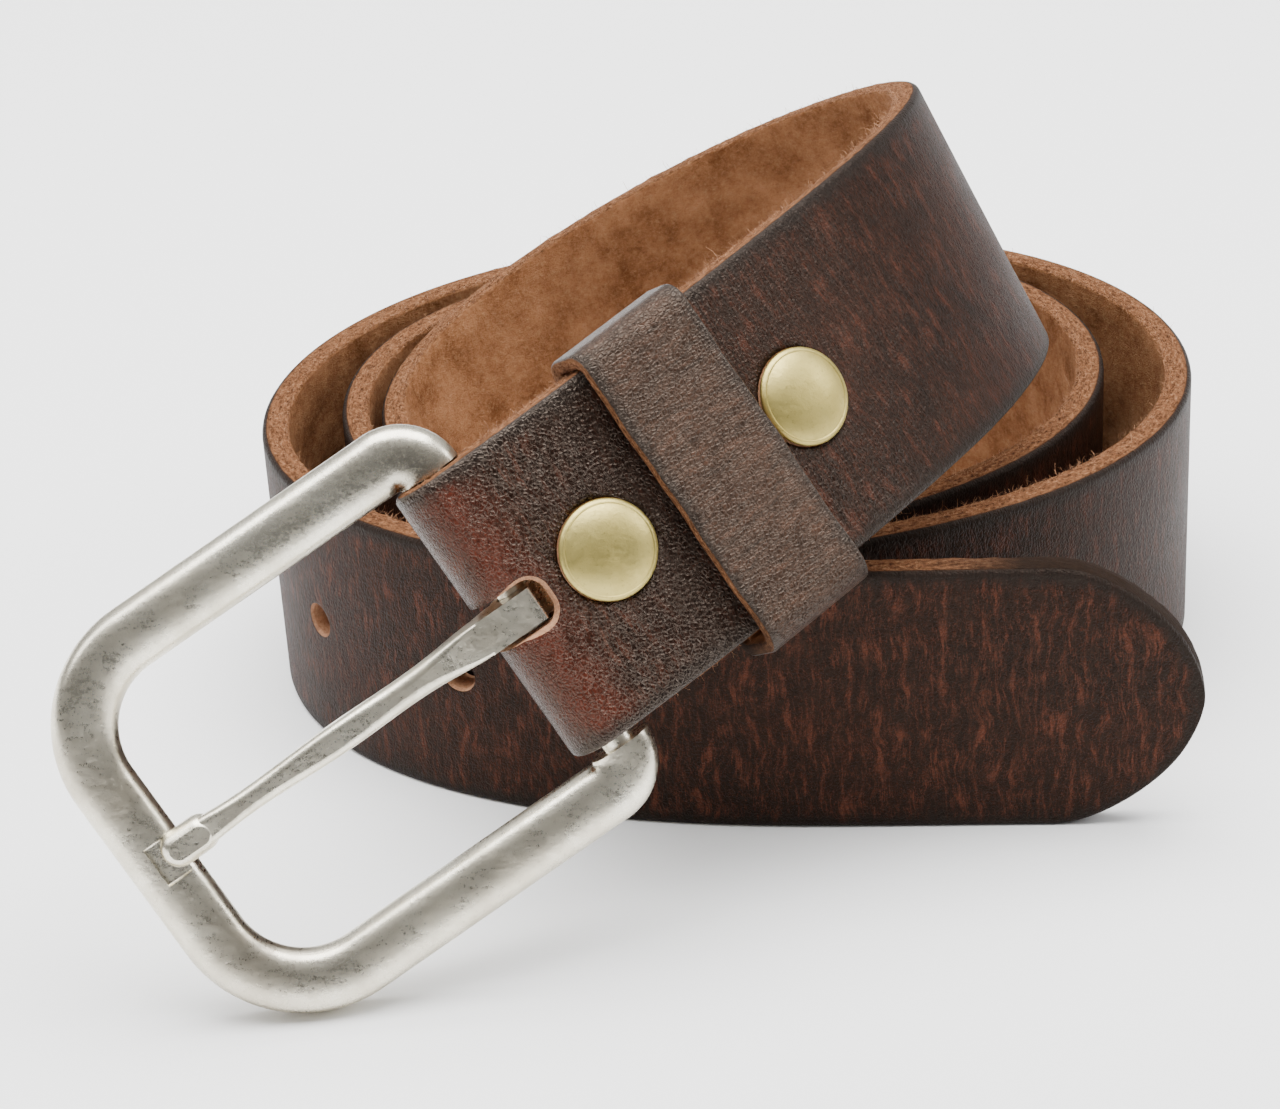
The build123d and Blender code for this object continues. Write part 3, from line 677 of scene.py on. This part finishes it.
def build_fuzz():
    """Short loose fibres along the raw edges and the flesh corners, each a thin curved spike."""
    rng = np.random.default_rng(FIBRE_SEED)
    spike = tube_faces(FIBRE_POINTS, 3)
    verts, faces, along, depth = [], [], [], []
    rings = [ring for ring in strap_rings() if DYED_TIP < ring[3] < LENGTH - 6 or ring[3] > LENGTH + 30]
    for _ in range(FIBRES):
        grain, flesh, up, s, half = rings[rng.integers(len(rings))]
        inward = flesh - grain
        thick = float(np.linalg.norm(inward))
        inward = inward / thick
        side = 1 if rng.random() < 0.72 else -1
        outward = up * side
        way = np.cross(up, inward)
        depth_in = thick * (1 - abs(rng.normal(0, 0.33)))
        if depth_in < SKIN_DEPTH:
            continue
        root = grain + inward * min(depth_in, thick - 0.12) + outward * (half - 0.06)
        if root[2] < FLOOR_CLEARANCE:
            continue
        lean = outward * rng.uniform(0.1, 0.9) + inward * rng.uniform(-0.35, 0.8) + way * rng.normal(0, 0.9)
        lean = lean / np.linalg.norm(lean)
        curl = np.cross(lean, up * rng.normal() + way * rng.normal() + inward * rng.normal())
        length = 0.3 + rng.gamma(2.0, 0.2)
        if lean @ outward < 0.12:
            lean = lean + outward * 0.3
        radius = rng.uniform(0.02, 0.045)
        first = len(verts)
        for k in range(FIBRE_POINTS):
            share = k / (FIBRE_POINTS - 1)
            point = root + lean * length * share + curl * length * 0.45 * share**2
            if (point - flesh) @ outward < half - 0.12:
                point = point + outward * 0.05
            for j in range(3):
                a = 2 * math.pi * j / 3
                offset = way * math.cos(a) + inward * math.sin(a)
                verts.append(point + offset * radius * (1 - 0.6 * share))
                along.append((s, side * half))
                depth.append((-depth_in, 1.0))
        faces += [tuple(first + corner for corner in face) for face in spike]
        last = len(verts) - 3
        faces.append((last, last + 1, last + 2))
        faces.append((first + 2, first + 1, first))
    maps = {"along": along, "depth": depth, "rim": [(5, 0)] * len(verts)}
    return new_object("strap_fibres", np.array(verts) * MM, faces, [fibre_leather], maps=maps)


fibres = build_fuzz()
for piece in (strap, fibres):
    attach(piece, "strap")
    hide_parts("belt_strap")


# ---------------------------------------------------------------- keeper
KEEPER_AT = 981.0
KEEPER_WIDTH = 16.0
KEEPER_LEATHER = 1.8
KEEPER_CLEARANCE = 0.45
KEEPER_DROOP = 1.1
KEEPER_BEVEL = 0.4
KEEPER_BUTT = 0.25
INNER_CORNER, OUTER_CORNER = 1.4, 3.2
DOUBLE = LEATHER + PLY_GAP + BACK_LEATHER


def rounded_loop(grow, corner, steps=10):
    """Points (across, out) round a rectangle with rounded corners, from the middle of its back."""
    low, high = -DOUBLE - grow, grow
    right, left = HALF + grow - corner, corner - HALF - grow - KEEPER_DROOP
    points = [(left * i / 16, low) for i in range(16)]
    for across, out, start in ((left, low, 270), (left, high, 180), (right, high, 90), (right, low, 0)):
        middle = out + corner if out == low else out - corner
        for i in range(steps + 1):
            a = math.radians(start - 90 * i / steps)
            points.append((across + corner * math.cos(a), middle + corner * math.sin(a)))
        if start == 180:
            points += [(left + (right - left) * i / 32, high) for i in range(1, 32)]
    return points + [(right * (1 - i / 16), low) for i in range(1, 17)]


def keeper_section():
    """(x, depth, zone) round the keeper's strip."""
    half, b = KEEPER_WIDTH / 2, KEEPER_BEVEL
    section = [(-half + b + (2 * half - 2 * b) * i / 11, 0, 0.0) for i in range(12)]
    section += [(half - b + b * 0.6, 0.2 * b, 0.2), (half, 0.8 * b, 0.6)]
    section += [(half + 0.05, 0.8, 1.0), (half + 0.04, 1.3, 1.0), (half - 0.1, KEEPER_LEATHER, 1.4)]
    section += [(half - 0.1 - (2 * half - 0.2) * i / 6, KEEPER_LEATHER, 2.0) for i in range(1, 6)]
    section += [(-half + 0.1, KEEPER_LEATHER, 1.4), (-half - 0.04, 1.3, 1.0), (-half - 0.05, 0.8, 1.0)]
    return section + [(-half, 0.8 * b, 0.6), (-half + b * 0.4, 0.2 * b, 0.2)]


def build_keeper():
    """One strip bent round the doubled end, its two ends butted behind."""
    centre, tangent, normal, up = station(KEEPER_AT)
    inner = np.array(rounded_loop(KEEPER_CLEARANCE, INNER_CORNER))
    outer = np.array(rounded_loop(KEEPER_CLEARANCE + KEEPER_LEATHER, OUTER_CORNER))
    strides = np.linalg.norm(np.diff(outer, axis=0), axis=1)
    for loop in (inner, outer):
        loop[0, 0], loop[-1, 0] = -KEEPER_BUTT, KEEPER_BUTT
    strides[-1] = np.linalg.norm(outer[-1] - outer[-2])
    lengths = np.concatenate([[0.0], np.cumsum(strides)])
    section = keeper_section()
    half, count = KEEPER_WIDTH / 2, len(section)
    verts, along, depth = [], [], []
    for outer_point, inner_point, length in zip(outer, inner, lengths):
        wave = 0.08 * math.sin(length * 0.31 + 1.0) + 0.05 * math.sin(length * 0.83)
        for x, down, zone in section:
            share = down / KEEPER_LEATHER
            across, out = outer_point * (1 - share) + inner_point * share
            x_waved = x + (wave if abs(x) > half - 0.5 else 0)
            verts.append(centre + tangent * x_waved + up * across + normal * out)
            along.append((length, x))
            depth.append((-down, zone))
    faces = [(a, d, c, b) for a, b, c, d in tube_faces(len(outer), count)]
    faces.append(tuple(range(count)))
    faces.append(tuple(reversed(range(len(verts) - count, len(verts)))))
    rim = [(min(half - abs(x) + 0.6, 9), 0) for _, x in along]
    maps = {"along": along, "depth": depth, "rim": rim}
    return new_object("keeper", np.array(verts) * MM, faces, [keeper_leather], maps=maps)


keeper = build_keeper()
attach(keeper, "keeper")
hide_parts("keeper_loop")

# ---------------------------------------------------------------- metal pieces, as the CAD has them
for node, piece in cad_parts.items():
    material = None
    if node in ("buckle_frame", "heel_bar", "buckle_prong"):
        material = nickel
    elif node == "keeper_staples" or node.endswith("_spring"):
        material = wire
    elif node.startswith("snap_"):
        material = brass
    if material and not piece.material_slots:
        piece.data.materials.append(material)
    elif material:
        for slot in piece.material_slots:
            slot.link = "OBJECT"
            slot.material = material

# ---------------------------------------------------------------- floor, light and camera
SIDE = 3.0
floor_mesh = bpy.data.meshes.new("floor")
floor_corners = [(-SIDE, -SIDE, 0), (SIDE, -SIDE, 0), (SIDE, SIDE, 0), (-SIDE, SIDE, 0)]
floor_mesh.from_pydata(floor_corners, [], [(0, 1, 2, 3)])
floor = bpy.data.objects.new("floor", floor_mesh)
bpy.context.scene.collection.objects.link(floor)
floor_nodes = Nodes("floor")
floor_nodes.shade(Base_Color=rgb(0.98, 0.98, 0.98), Roughness=0.9, Specular_IOR_Level=0.1)
floor_mesh.materials.append(floor_nodes.material)

# a studio sky: dark at the horizon and bright above, dimmer in front and brighter behind
world = bpy.data.worlds.new("studio")
bpy.context.scene.world = world
world.use_nodes = True
sky = world.node_tree
facing = sky.nodes.new("ShaderNodeTexCoord").outputs["Generated"]
parts = sky.nodes.new("ShaderNodeSeparateXYZ")
sky.links.new(facing, parts.inputs[0])


def sky_map(part, *limits):
    """Maps one component of the direction; limits are (from low, from high, to low, to high)."""
    made = sky.nodes.new("ShaderNodeMapRange")
    sky.links.new(parts.outputs[part], made.inputs[0])
    for index, limit in enumerate(limits):
        made.inputs[index + 1].default_value = limit
    return made.outputs[0]


def sky_math(operation, a, b):
    made = sky.nodes.new("ShaderNodeMath")
    made.operation = operation
    sky.links.new(a, made.inputs[0])
    sky.links.new(b, made.inputs[1])
    return made.outputs[0]


ACROSS_FLOOR, UPWARD = 1, 2
rise = sky_map(UPWARD, 0.1, 0.9, 0.1, 1.15)
front = sky_map(ACROSS_FLOOR, -0.7, 0.1, 0.45, 1.0)
behind = sky_map(ACROSS_FLOOR, -0.2, 0.9, 0.0, 0.4)
background = sky.nodes["Background"]
background.inputs[0].default_value = rgb(1.0, 1.0, 1.0)
sky.links.new(sky_math("ADD", sky_math("MULTIPLY", rise, front), behind), background.inputs[1])


def area_light(name, place, target, size, power):
    light = bpy.data.lights.new(name, "AREA")
    light.shape = "RECTANGLE"
    light.size, light.size_y = size
    light.energy = power
    holder = bpy.data.objects.new(name, light)
    holder.location = place
    holder.rotation_euler = (Vector(target) - Vector(place)).to_track_quat("-Z", "Y").to_euler()
    bpy.context.scene.collection.objects.link(holder)


area_light("overhead", (0.0, 0.1, 1.0), (0, 0, 0), (1.2, 0.9), 33.0)
area_light("key", (-0.75, 0.0, 0.65), (0, 0, 0.03), (0.35, 0.6), 3.0)
area_light("side", (0.8, 0.0, 0.5), (0, 0, 0.03), (0.3, 0.4), 3.2)

ELEVATION = math.radians(29.797)
ROLL = math.radians(-3.455)
DISTANCE = 0.45605
TARGET = Vector((-0.0028, -0.01384, 0.0312))
LENS = 98.9
SENSOR_WIDTH = 36.0
CLIP_START = 0.01
forward = Vector((0, math.cos(ELEVATION), -math.sin(ELEVATION)))
level_right = Vector((1, 0, 0))
level_up = level_right.cross(forward)
right = level_right * math.cos(ROLL) + level_up * math.sin(ROLL)
up = level_up * math.cos(ROLL) - level_right * math.sin(ROLL)
camera_data = bpy.data.cameras.new("camera")
camera_data.lens = LENS
camera_data.sensor_width = SENSOR_WIDTH
camera_data.clip_start = CLIP_START
camera = bpy.data.objects.new("camera", camera_data)
turned = Matrix((right, up, -forward)).transposed().to_4x4()
camera.matrix_world = Matrix.Translation(TARGET - forward * DISTANCE) @ turned
bpy.context.scene.collection.objects.link(camera)
bpy.context.scene.camera = camera
